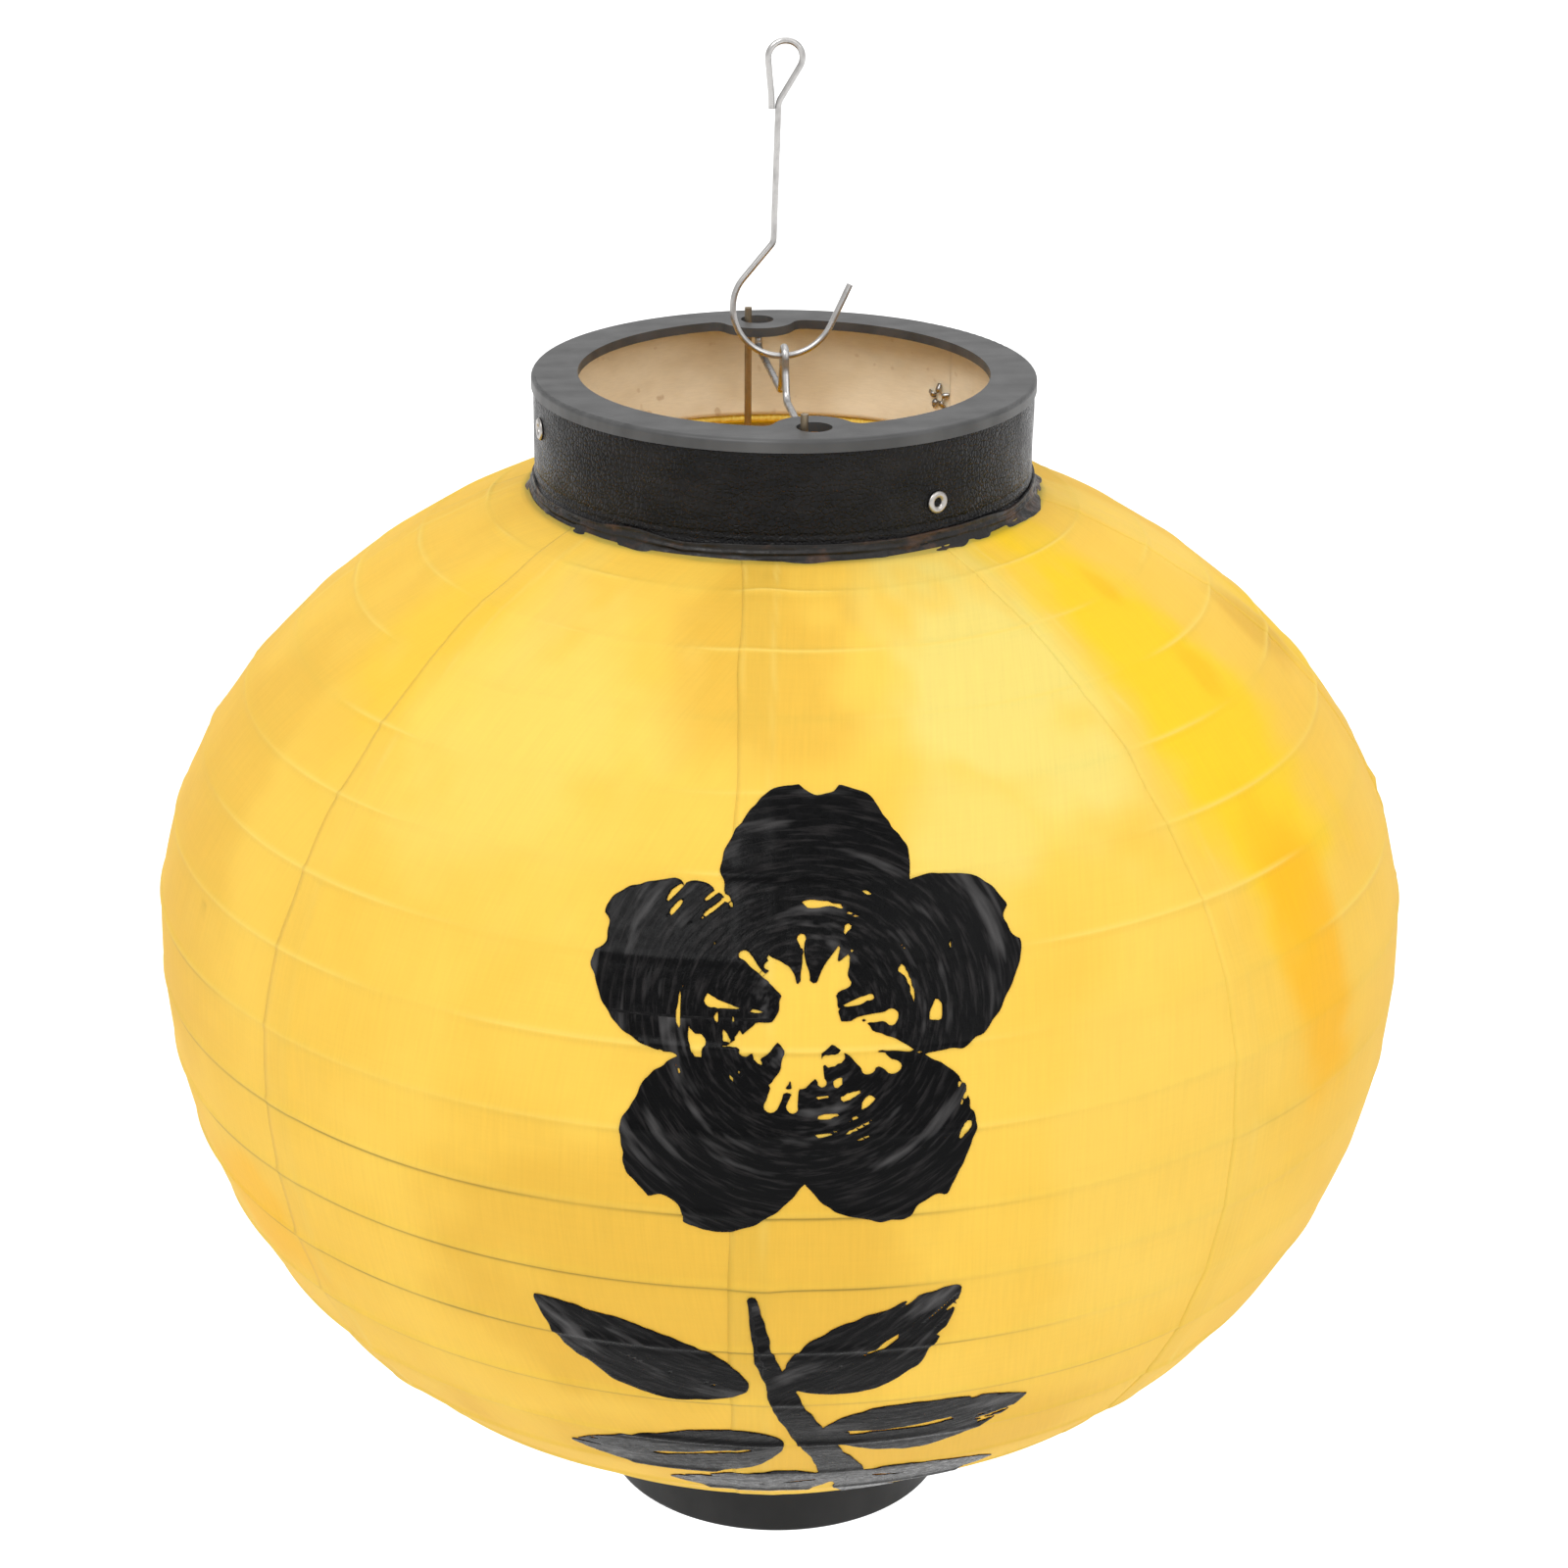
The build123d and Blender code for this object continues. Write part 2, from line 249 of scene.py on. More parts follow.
def cloth_relief(angle, bay, radius):
    """How far the cloth stands off its smooth profile: hoop creases, puckers and slack."""
    hoop = np.round(bay)
    below = (bay - hoop) * BAY_LENGTH
    beyond = bay - np.floor(bay)
    turn = angle / (2 * math.pi)
    seam = (angle - FIRST_SEAM) * GORES / (2 * math.pi)
    to_seam = np.abs(seam - np.round(seam)) * (2 * math.pi / GORES) * radius
    near_seam = np.exp(-((to_seam / (11 * MM)) ** 2))
    show = crease_show(angle, hoop)
    ridge = np.exp(-((below / 0.65) ** 2)) * 0.38 * show
    groove = np.exp(-(((below - 1.7) / 0.8) ** 2)) * 0.16 * show
    fold_above = np.exp(-(((below + 2.2) / 1.3) ** 2)) * 0.07 * show
    free = np.sin(math.pi * beyond) ** 2
    puckers = noise(turn * 96, bay * 0.9, 5, 96) * (0.05 + 0.22 * near_seam)
    fine = noise(turn * 210, bay * 2.2, 7, 210) * (0.02 + 0.10 * near_seam)
    tucks = np.abs(noise(turn * 40 + bay * 0.3, hoop * 2.3, 15, 40)) ** 3
    tucks = tucks * np.exp(-((below / 6.0) ** 2)) * (0.10 + 0.5 * near_seam)
    slack = noise(turn * 14, bay * 0.35, 3, 14) * 0.28
    drawn = noise(turn * 60 + bay * 1.4, bay * 0.5, 9, 60) * 0.10 * step(bay, 12, 19)
    end = step(bay, 0, 0.6) * (1 - step(bay, BAYS - 0.5, BAYS))
    relief = ridge - groove - fold_above + (puckers + fine + drawn) * free + (slack + tucks) * end
    for at, down, size, height in SNAGS:
        far = np.hypot(wrap_angle(angle - FRONT - math.radians(at)) * radius / MM, (bay - down) * BAY_LENGTH)
        relief = relief + np.exp(-((far / size) ** 2)) * height
    clear_of_wire = -0.08 - 0.6 * free
    return np.maximum(relief, clear_of_wire) * MM


def strip_lift(angle, radius, seam_angle):
    """Height of a gore's glued strip above the gore beneath it, about its own seam."""
    across = wrap_angle(angle - seam_angle) * radius
    up = step(across, -STRIP, -STRIP + 1.1 * MM) * 0.16 * MM + 0.005 * MM
    return up * (1 - step(across, 0.0, 3.5 * MM)) * (across > -STRIP - 1e-9)


def on_cloth(angle, bay, lift):
    """The point at (angle, bay), that far out from the smooth profile and its relief."""
    radius = np.interp(bay, fine_bay, fine_line[:, 0])
    height = np.interp(bay, fine_bay, fine_line[:, 1])
    out = -np.interp(bay, fine_bay, slope[:, 1])
    rise = np.interp(bay, fine_bay, slope[:, 0])
    off = cloth_relief(angle, bay, radius) + lift
    r = radius + out * off
    z = height + rise * off
    return np.stack([r * np.cos(angle), r * np.sin(angle), z], axis=-1)


def top_lift(angle, bay):
    """Lift of whatever cloth is uppermost at (angle, bay)."""
    radius = np.interp(bay, fine_bay, fine_line[:, 0])
    total = np.zeros(np.broadcast(angle, bay).shape)
    for number in range(GORES):
        seam = FIRST_SEAM + number * 2 * math.pi / GORES
        near = np.abs(wrap_angle(angle - seam)) * radius < 12 * MM
        total += np.where(near, strip_lift(angle, radius, seam), 0)
    return total


# ------------------------------------------------------------------ materials
class Shader:
    """Builds one material: nodes are added by type and joined by socket name."""

    def __init__(self, name):
        self.material = bpy.data.materials.new(name)
        self.material.use_nodes = True
        self.tree = self.material.node_tree
        self.main = self.tree.nodes["Principled BSDF"]
        self.output = self.tree.nodes["Material Output"]

    def add(self, kind, **values):
        """A node of that type. Lower-case values are its settings, others its sockets."""
        node = self.tree.nodes.new("ShaderNode" + kind)
        for key, value in values.items():
            if key[0].islower():
                setattr(node, key, value)
            else:
                self.feed(node.inputs[key.replace("_", " ")], value)
        return node

    def feed(self, socket, value):
        if isinstance(value, bpy.types.NodeSocket):
            self.tree.links.new(value, socket)
        elif isinstance(value, bpy.types.Node):
            self.tree.links.new(value.outputs[0], socket)
        else:
            socket.default_value = value

    def set(self, **values):
        for key, value in values.items():
            self.feed(self.main.inputs[key.replace("_", " ")], value)

    def place(self, scale=(1, 1, 1), attribute=None):
        """Coordinates in millimetres, stretched by scale: the object's own, or an attribute."""
        if attribute:
            source = self.add("Attribute", attribute_name=attribute).outputs["Vector"]
        else:
            source = self.add("TexCoord").outputs["Object"]
        factor = tuple(1000 * s for s in scale)
        node = self.add("VectorMath", operation="MULTIPLY")
        self.feed(node.inputs[0], source)
        self.feed(node.inputs[1], factor)
        return node.outputs[0]

    def noise(self, vector, scale, detail=2.0, rough=0.5):
        node = self.add("TexNoise", Vector=vector, Scale=scale, Detail=detail, Roughness=rough)
        return node.outputs["Fac"]

    def ramp(self, fac, stops):
        """A colour ramp over (position, colour) stops; a colour may be one number."""
        node = self.add("ValToRGB", Fac=fac)
        elements = node.color_ramp.elements
        while len(elements) < len(stops):
            elements.new(0.5)
        for element, (position, colour) in zip(elements, stops):
            element.position = position
            if isinstance(colour, (int, float)):
                colour = (colour, colour, colour)
            element.color = (*colour, 1)
        return node.outputs["Color"]

    def mix(self, fac, first, second, blend="MIX"):
        node = self.add("Mix", data_type="RGBA", blend_type=blend)
        self.feed(node.inputs["Factor"], fac)
        for socket, value in ((node.inputs[6], first), (node.inputs[7], second)):
            self.feed(socket, (*value, 1) if isinstance(value, tuple) else value)
        return node.outputs[2]

    def math(self, operation, first, second=0.0, clamp=False):
        node = self.add("Math", operation=operation, use_clamp=clamp)
        self.feed(node.inputs[0], first)
        self.feed(node.inputs[1], second)
        return node.outputs[0]

    def bump(self, height, strength, distance, normal=None):
        node = self.add("Bump", Height=height, Strength=strength, Distance=distance)
        if normal is not None:
            self.feed(node.inputs["Normal"], normal)
        return node.outputs["Normal"]


# The cloth's colours (linear red, green, blue). On the front PALE and GOLD_BRIGHT also give painted sheen
# and painted highlights, DEEP painted shade.
GOLD = (0.93, 0.70, 0.112)
GOLD_LIGHT = (0.95, 0.735, 0.130)
GOLD_BRIGHT = (0.97, 0.80, 0.20)
PALE = (0.90, 0.80, 0.245)
RICH = (0.95, 0.74, 0.032)
DEEP = (0.85, 0.60, 0.082)
ORANGE = (0.96, 0.62, 0.018)
# Dark olive: glue and grime, and painted shade under the hoop creases.
DIRT_AND_SHADE = (0.30, 0.20, 0.03)


def cloth_material():
    """Woven satin: fine warp and weft, slubs, uneven dye and light let through.

    The mesh says where the dye is pale, rich, deep, orange or bright; on the front the pale and bright
    shares are painted sheen and the deep ones painted shade. It also carries painted highlights on the
    crease tops, pale strip edges, painted shade with dust under the creases, grime and darker cloth ends."""
    s = Shader("cloth")
    thread = s.place(attribute="cloth_place")
    warp = s.add("TexWave", wave_type="BANDS", bands_direction="X", Vector=thread, Scale=0.42,
                 Distortion=0.6, Detail=1.0, Detail_Scale=2.0)
    weft = s.add("TexWave", wave_type="BANDS", bands_direction="Y", Vector=thread, Scale=0.36,
                 Distortion=0.8, Detail=1.0, Detail_Scale=2.0)
    slub_down = s.noise(s.place((1.3, 0.06, 1), "cloth_place"), 1.0, 3.0, 0.6)
    slub_across = s.noise(s.place((0.05, 1.1, 1), "cloth_place"), 1.0, 3.0, 0.6)
    mottle = s.noise(s.place((0.03, 0.03, 0.03)), 1.0, 3.0, 0.5)
    tone = s.mix(s.ramp(mottle, [(0.38, 0.0), (0.64, 1.0)]), GOLD, GOLD_LIGHT)
    dye = s.add("SeparateXYZ", Vector=s.add("Attribute", attribute_name="cloth_dye_and_light").outputs["Vector"])
    marks = s.add("SeparateXYZ", Vector=s.add("Attribute", attribute_name="cloth_marks_and_light").outputs["Vector"])
    # Pale: painted sheen on the front, uneven dye elsewhere. Rich: uneven dye. Deep: painted shade on the
    # front, uneven dye elsewhere.
    tone = s.mix(dye.outputs["X"], tone, PALE)
    tone = s.mix(dye.outputs["Y"], tone, RICH)
    tone = s.mix(dye.outputs["Z"], tone, DEEP)
    tone = s.mix(marks.outputs["X"], tone, ORANGE)
    # Bright: painted sheen on the front, painted highlights on the crease tops, and pale strip edges.
    tone = s.mix(marks.outputs["Z"], tone, GOLD_BRIGHT)
    # Dark olive: painted shade with dust under the hoop creases, grime at the snags and darker cloth ends.
    tone = s.mix(marks.outputs["Y"], tone, DIRT_AND_SHADE)
    streak = s.mix(0.5, s.ramp(slub_down, [(0.3, 0.95), (0.7, 1.0)]),
                   s.ramp(slub_across, [(0.3, 0.96), (0.7, 1.0)]), "MULTIPLY")
    tone = s.mix(0.8, tone, streak, "MULTIPLY")
    weave = s.math("ADD", s.math("MULTIPLY", warp.outputs["Fac"], 0.5),
                   s.math("MULTIPLY", weft.outputs["Fac"], 0.5))
    slubs = s.math("ADD", slub_down, slub_across)
    normal = s.bump(weave, 0.10, 0.00006)
    normal = s.bump(slubs, 0.30, 0.00010, normal)
    s.set(Base_Color=tone, Roughness=0.58, Specular_IOR_Level=0.22, Normal=normal,
          Sheen_Weight=0.05, Sheen_Roughness=0.4, Sheen_Tint=(1.0, 0.85, 0.45, 1))
    glow = s.add("BsdfTranslucent", Color=tone, Normal=normal)
    both = s.add("MixShader")
    s.feed(both.inputs[0], 0.5)
    s.feed(both.inputs[1], s.main)
    s.feed(both.inputs[2], glow)
    s.feed(s.output.inputs["Surface"], both)
    return s.material


def ink_material():
    """Thick black paint: glossy, with brush marks, thin places and painted sheen in broad grey sweeps."""
    s = Shader("ink")
    strokes = s.noise(s.place((0.12, 0.9, 1), "stroke_place"), 1.0, 4.0, 0.6)
    cracks = s.noise(s.place((0.5, 0.5, 0.5), "stroke_place"), 1.0, 3.0, 0.7)
    sheen_sweeps = s.noise(s.place((0.035, 0.16, 1), "stroke_place"), 1.0, 3.0, 0.6)
    black = (0.0012, 0.0012, 0.0014)
    tone = s.mix(s.ramp(strokes, [(0.5, 0.0), (0.8, 1.0)]), black, (0.022, 0.020, 0.020))
    # Broad grey sweeps over the black: painted sheen.
    tone = s.mix(s.ramp(sheen_sweeps, [(0.56, 0.0), (0.76, 0.8)]), tone, (0.085, 0.082, 0.082))
    rough = s.ramp(cracks, [(0.35, 0.20), (0.65, 0.40)])
    normal = s.bump(strokes, 0.5, 0.00022)
    normal = s.bump(cracks, 0.3, 0.0003, normal)
    s.set(Base_Color=tone, Roughness=rough, Specular_IOR_Level=0.07, Normal=normal)
    return s.material


def vinyl_material():
    """Black vinyl with a fine leather-like grain, scuffs and a soft sheen."""
    s = Shader("band_vinyl")
    place = s.place()
    cells = s.add("TexVoronoi", feature="DISTANCE_TO_EDGE", Vector=place, Scale=0.9, Randomness=1.0)
    grain = s.ramp(cells.outputs["Distance"], [(0.0, 0.0), (0.22, 1.0)])
    fine = s.noise(place, 2.2, 3.0, 0.6)
    wear = s.noise(s.place((0.06, 0.06, 0.12)), 1.0, 3.0, 0.6)
    tone = s.mix(s.ramp(wear, [(0.4, 0.0), (0.75, 1.0)]), (0.003, 0.003, 0.0035), (0.011, 0.010, 0.010))
    rough = s.ramp(s.noise(s.place((0.15, 0.15, 0.15)), 1.0, 3.0), [(0.3, 0.22), (0.7, 0.40)])
    normal = s.bump(grain, 0.55, 0.00025)
    normal = s.bump(fine, 0.35, 0.0002, normal)
    s.set(Base_Color=tone, Roughness=rough, Specular_IOR_Level=0.13, Normal=normal)
    return s.material


def rim_material(name, dark, pale, gloss):
    """Moulded black plastic: satin, faint flow marks, slightly scuffed."""
    s = Shader(name)
    place = s.place()
    fine = s.noise(place, 3.0, 3.0, 0.6)
    flow = s.noise(s.place((0.05, 0.2, 0.05)), 1.0, 3.0, 0.5)
    tone = s.mix(s.ramp(flow, [(0.35, 0.0), (0.7, 1.0)]), (dark,) * 3, (pale,) * 3)
    rough = s.ramp(s.noise(s.place((0.12, 0.12, 0.12)), 1.0, 4.0), [(0.3, 0.40), (0.7, 0.52)])
    s.set(Base_Color=tone, Roughness=rough, Specular_IOR_Level=gloss, Normal=s.bump(fine, 0.14, 0.00010))
    return s.material


def liner_material():
    """Tan card: cloudy, with short fibres and a few brown spots."""
    s = Shader("liner_card")
    cloud = s.noise(s.place((0.05, 0.05, 0.09)), 1.0, 3.0, 0.55)
    fibres = s.noise(s.place((0.4, 0.4, 2.6)), 1.0, 3.0, 0.65)
    spots = s.noise(s.place((0.3, 0.3, 0.3)), 1.0, 1.0, 0.4)
    tone = s.mix(s.ramp(cloud, [(0.35, 0.0), (0.68, 1.0)]), (0.76, 0.66, 0.47), (0.88, 0.80, 0.62))
    tone = s.mix(s.ramp(spots, [(0.70, 0.0), (0.78, 0.5)]), tone, (0.50, 0.34, 0.18))
    tone = s.mix(0.5, tone, s.ramp(fibres, [(0.3, 0.86), (0.7, 1.0)]), "MULTIPLY")
    normal = s.bump(fibres, 0.25, 0.0001)
    s.set(Base_Color=tone, Roughness=0.72, Specular_IOR_Level=0.3, Normal=normal)
    return s.material


def glued_edge_material():
    """Cloth edge soaked in dark glue: black-brown, lumpy, glossy where the glue pooled."""
    s = Shader("glued_edge")
    lumps = s.noise(s.place((0.5, 0.5, 0.5)), 1.0, 4.0, 0.65)
    brown = s.noise(s.place((0.16, 0.16, 0.3)), 1.0, 3.0, 0.6)
    tone = s.mix(s.ramp(brown, [(0.52, 0.0), (0.74, 1.0)]), (0.006, 0.005, 0.0045), (0.055, 0.026, 0.013))
    rough = s.ramp(lumps, [(0.35, 0.30), (0.65, 0.6)])
    normal = s.bump(lumps, 0.7, 0.0004)
    s.set(Base_Color=tone, Roughness=rough, Specular_IOR_Level=0.3, Normal=normal)
    return s.material


def wire_material(name, tone, rough):
    """Drawn steel wire: lengthwise drawing marks, and dull patches."""
    s = Shader(name)
    draw = s.noise(s.place((2.5, 2.5, 0.25)), 1.0, 3.0, 0.6)
    dull = s.noise(s.place((0.3, 0.3, 0.18)), 1.0, 3.0, 0.6)
    dark = tuple(c * 0.62 for c in tone)
    colour = s.mix(s.ramp(dull, [(0.45, 0.0), (0.75, 1.0)]), tone, dark)
    shine = s.ramp(dull, [(0.3, rough), (0.7, rough + 0.16)])
    s.set(Base_Color=colour, Metallic=1.0, Roughness=shine, Normal=s.bump(draw, 0.12, 0.00006))
    return s.material


def wrapped_material():
    """The end hoops: wire wrapped in the turned edge of the cloth, with threads and glue spots."""
    s = Shader("wrapped_hoop")
    threads = s.noise(s.place((1.4, 1.4, 0.5)), 1.0, 3.0, 0.6)
    glue = s.noise(s.place((0.2, 0.2, 0.2)), 1.0, 2.0, 0.5)
    tone = s.mix(s.ramp(threads, [(0.35, 0.0), (0.65, 1.0)]), DEEP, GOLD_BRIGHT)
    tone = s.mix(s.ramp(glue, [(0.62, 0.0), (0.76, 0.6)]), tone, DIRT_AND_SHADE)
    s.set(Base_Color=tone, Roughness=0.6, Specular_IOR_Level=0.25, Normal=s.bump(threads, 0.4, 0.0002))
    return s.material


def floor_material():
    s = Shader("floor")
    fine = s.noise(s.place((0.004, 0.004, 0.004)), 1.0, 2.0)
    tone = s.mix(fine, (0.90, 0.90, 0.90), (0.93, 0.93, 0.93))
    s.set(Base_Color=tone, Roughness=0.9, Specular_IOR_Level=0.1)
    return s.material


# ------------------------------------------------------------------ cloth gores
# Where the cloth's colour differs: (kind, degrees right of the front, millimetres down the cloth, half
# extents in degrees and millimetres, strength). The gores at the front have their own: there the pale and
# bright patches are painted sheen and the deep ones painted shade. The rest are drawn at random, as uneven
# dye.
KINDS = ("pale", "rich", "deep", "orange", "bright")
FRONT_PATCHES = (
    ("pale", 29, 40, 15, 46, 1.0),
    ("pale", 20, 74, 9, 20, 0.7),
    ("pale", -38, 28, 8, 22, 0.35),
    ("rich", 56, 52, 12, 74, 1.0),
    ("rich", -50, 45, 14, 30, 0.35),
    ("orange", 55, 122, 6, 34, 0.8),
    ("orange", 60, 26, 3, 8, 0.5),
    ("orange", 61, 55, 3, 9, 0.5),
    ("orange", -55, 190, 8, 18, 0.5),
    ("deep", -3, 30, 14, 34, 0.8),
    ("deep", -70, 95, 12, 70, 0.5),
    ("deep", -9, 176, 24, 44, 0.85),
    ("deep", 5, 236, 40, 26, 0.6),
    ("bright", -32, 55, 20, 34, 0.6),
    ("bright", 34, 150, 14, 50, 0.35),
)
BACK_PATCHES = 34


def all_patches():
    draw = np.random.default_rng(5)
    patches = list(FRONT_PATCHES)
    for _ in range(BACK_PATCHES):
        kind = KINDS[int(draw.integers(0, len(KINDS)))]
        size = float(draw.uniform(6, 16))
        patches.append((kind, float(draw.uniform(84, 276)), float(draw.uniform(10, 270)),
                        size, size * float(draw.uniform(1.5, 4)), float(draw.uniform(0.3, 0.85))))
    return patches


def dye_and_light_shares(angle, run):
    """How much of each kind of colour difference there is at (angle, millimetres down the cloth): uneven
    dye, and on the front painted sheen and painted shade.
    """
    shares = {kind: np.zeros(angle.shape) for kind in KINDS}
    turn = angle / (2 * math.pi)
    ragged = 0.22 * noise(turn * 46, run / 17, 131, 46) + 0.10 * noise(turn * 120, run / 6, 132, 120)
    for kind, at, down, wide, long, strength in PATCHES:
        across = np.degrees(wrap_angle(angle - FRONT - math.radians(at))) / wide
        value = np.exp(-(across**2) - ((run - down) / long) ** 2) + ragged
        shares[kind] = np.maximum(shares[kind], step(value, 0.22, 0.75) * strength)
    return shares


def crease_shade_and_dirt(angle, bay, radius):
    """Dark lines under the hoop creases, painted shade with dust in it; grime at a snag or two; and darker
    cloth at both ends.
    """
    hoop = np.round(bay)
    below = (bay - hoop) * BAY_LENGTH
    show = crease_show(angle, hoop) * step(bay, 4.5, 10)
    patchy = 0.75 + 0.25 * noise(angle / (2 * math.pi) * 60, hoop * 1.9, 133, 60)
    # Painted shade under each hoop crease, with dust settled in it.
    shade_and_dirt = np.exp(-(((below - 0.85) / 0.32) ** 2)) * step(show, 0.35, 1.1) * patchy * 0.9
    for at, down, size, height in SNAGS:
        far = np.hypot(wrap_angle(angle - FRONT - math.radians(at)) * radius / MM, (bay - down) * BAY_LENGTH)
        shade_and_dirt = np.maximum(shade_and_dirt, np.exp(-((far / size) ** 2)) * (height < 0))
    ends = np.maximum(1 - step(bay, 0.0, 0.22), step(bay, BAYS - 0.2, BAYS)) * 0.55
    return np.maximum(shade_and_dirt, ends)


def crease_highlights_and_edge_lines(angle, bay, across):
    """Pale lines: painted highlights on the hoop creases near the top, and pale lines along both edges of
    each strip.
    """
    hoop = np.round(bay)
    below = (bay - hoop) * BAY_LENGTH
    show = crease_show(angle, hoop)
    # Painted highlights along the tops of the hoop creases near the top.
    creases = np.exp(-(((below + 0.1) / 0.42) ** 2)) * step(show, 0.2, 0.75) * (1 - step(bay, 6, 10))
    edges = np.exp(-(((across + STRIP / MM - 0.6) / 0.5) ** 2)) + np.exp(-(((across + 0.4) / 0.55) ** 2))
    patchy = 0.55 + 0.45 * noise(bay * 2.1, np.round(angle * 9), 134)
    return np.maximum(creases * 0.9, edges * patchy * 0.75)


PATCHES = all_patches()
cloth = cloth_material()
BAY_STEPS = (0, 0.022, 0.044, 0.066, 0.09, 0.12, 0.16, 0.26, 0.38, 0.5, 0.62, 0.74, 0.84, 0.9, 0.94, 0.97)
CLOTH_THICK = 0.25 * MM
GORE_COLUMNS = 72


def make_gore(number):
    """One cloth gore, from its glued strip on the left to its edge under the next gore."""
    bays = np.array([k + t for k in range(BAYS) for t in BAY_STEPS] + [BAYS], float)
    seam = FIRST_SEAM + number * 2 * math.pi / GORES
    share = np.linspace(0, 1, GORE_COLUMNS)
    radius = np.interp(bays, fine_bay, fine_line[:, 0])[:, None]
    wobble = noise(bays * 1.3, number * 7.0, 21)[:, None] * 0.5 * MM
    left = seam - (STRIP + wobble) / radius
    right = seam + 2 * math.pi / GORES + np.zeros_like(radius)
    angle = left + (right - left) * share[None, :]
    bay = np.repeat(bays[:, None], GORE_COLUMNS, axis=1)
    lift = strip_lift(angle, radius + 0 * angle, seam)
    lift = np.where(angle < seam, np.maximum(lift, 0.05 * MM), lift)
    grid = on_cloth(angle, bay, lift)
    gore = shell(f"cloth_gore_{number + 1}", grid, CLOTH_THICK)
    run = np.interp(bay, fine_bay, fine_run)
    place = np.stack([(angle - seam) * radius, run, np.full_like(run, number * 0.4)], axis=-1)
    store(gore, "cloth_place", np.concatenate([place.reshape(-1, 3)] * 2))
    # Colours for the cloth: uneven dye and marks, with painted sheen, painted highlights and painted shade
    # among them.
    dye = dye_and_light_shares(angle, run / MM)
    zero = np.zeros_like(run)
    dye_and_light_grid = np.stack([dye["pale"], dye["rich"], dye["deep"]], axis=-1)
    highlights_and_pale_edges = crease_highlights_and_edge_lines(angle, bay, (angle - seam) * radius / MM)
    shade_and_dirt = crease_shade_and_dirt(angle, bay, radius + zero)
    marks_and_light_grid = np.stack([dye["orange"], shade_and_dirt, np.maximum(dye["bright"], highlights_and_pale_edges)], axis=-1)
    store(gore, "cloth_dye_and_light", np.concatenate([dye_and_light_grid.reshape(-1, 3)] * 2))
    store(gore, "cloth_marks_and_light", np.concatenate([marks_and_light_grid.reshape(-1, 3)] * 2))
    gore.data.materials.append(cloth)
    area = float(np.sum(np.gradient(fine_run) * fine_line[:, 0]) * 2 * math.pi / GORES)
    area += STRIP * CLOTH_LENGTH
    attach(gore, "collar")
    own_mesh(gore)
    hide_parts(f"gore_{number + 1}")


for gore_number in range(GORES):
    make_gore(gore_number)


# ------------------------------------------------------------------ painted motif
# A brushed blossom above a leafy sprig, in black paint. Both are drawn on the cloth laid flat:
# x to the right of the front, y down the cloth from the neck, in millimetres.
BLOSSOM = (6.0, 112.0)
BLOSSOM_REACH = 50.0
# Each leaf: (x, y) of its root, direction in degrees (0 right, 90 down), length and half width.
LEAVES = (
    (-6.0, 204.0, 206, 52, 13.5),
    (2.0, 202.0, -36, 46, 14.5),
    (2.0, 226.0, 167, 50, 15.5),
    (10.0, 222.0, -8, 48, 15.0),
    (14.0, 250.0, 172, 38, 15.0),
    (18.0, 250.0, 8, 34, 14.0),
)
# The sprig's stem: (x, y, half width) from its root up to its tip.
STEM = ((22, 280, 6.2), (18, 256, 5.0), (12, 234, 4.2), (4, 212, 3.4), (-2, 194, 2.4), (-5, 176, 0.9))
INK_CELL = 0.65
INK_THICK = 0.14
INK_CLEAR = 0.10


def rough_edge(x, y, seed):
    return noise(x / 2.4, y / 2.4, seed) * 0.45 + noise(x / 8, y / 8, seed + 1) * 0.9


def blossom(x, y):
    """Ink depth, positive inside, and brush direction, for five round petals and thin stamens."""
    dx, dy = x - BLOSSOM[0], y - BLOSSOM[1]
    far, turn = np.hypot(dx, dy), np.arctan2(dy, dx)
    inside = np.full(x.shape, -99.0)
    for i in range(5):
        aim = math.radians(-90 + 72 * i + (2.5, -3.0, 4.0, -1.5, 2.0)[i])
        size = BLOSSOM_REACH * (1.0, 0.94, 0.98, 1.03, 0.93)[i]
        along = dx * math.cos(aim) + dy * math.sin(aim)
        across = -dx * math.sin(aim) + dy * math.cos(aim)
        round_part = 0.385 * size - np.hypot((along - 0.61 * size) * 0.98, across)
        neck = np.minimum(0.30 * along + 0.4, 0.5 * size - along)
        petal = np.maximum(round_part, np.minimum(neck - np.abs(across), along - 7))
        notch = np.hypot(along - 1.04 * size, across * 0.9) - 0.09 * size
        petal = np.minimum(petal, notch)
        inside = np.maximum(inside, petal)
    for i in range(15):
        aim = math.radians(24 * i + 9 * math.sin(i * 2.3))
        end = 17.0 + 3.5 * math.sin(i * 1.7)
        along = dx * math.cos(aim) + dy * math.sin(aim)
        across = -dx * math.sin(aim) + dy * math.cos(aim)
        line = 0.45 + 0.02 * along - np.abs(across)
        clear = np.minimum(line, np.minimum(along - 6.0, end - along))
        clear = np.maximum(clear, 1.15 - np.hypot(along - end, across))
        inside = np.minimum(inside, -clear)
    streak = noise(turn * 14 / math.pi + 14, far / 1.1, 71, 28) - 0.5
    wet = 1 - step(noise(dx / 16 + 3.5, dy / 16 + 0.5, 72), 0.05, 0.5)
    dry = wet * 5 - streak * 4
    inside = np.minimum(inside + rough_edge(x, y, 73), np.maximum(dry, -0.6))
    return inside, np.stack([turn * 30, far, 0 * far], axis=-1)


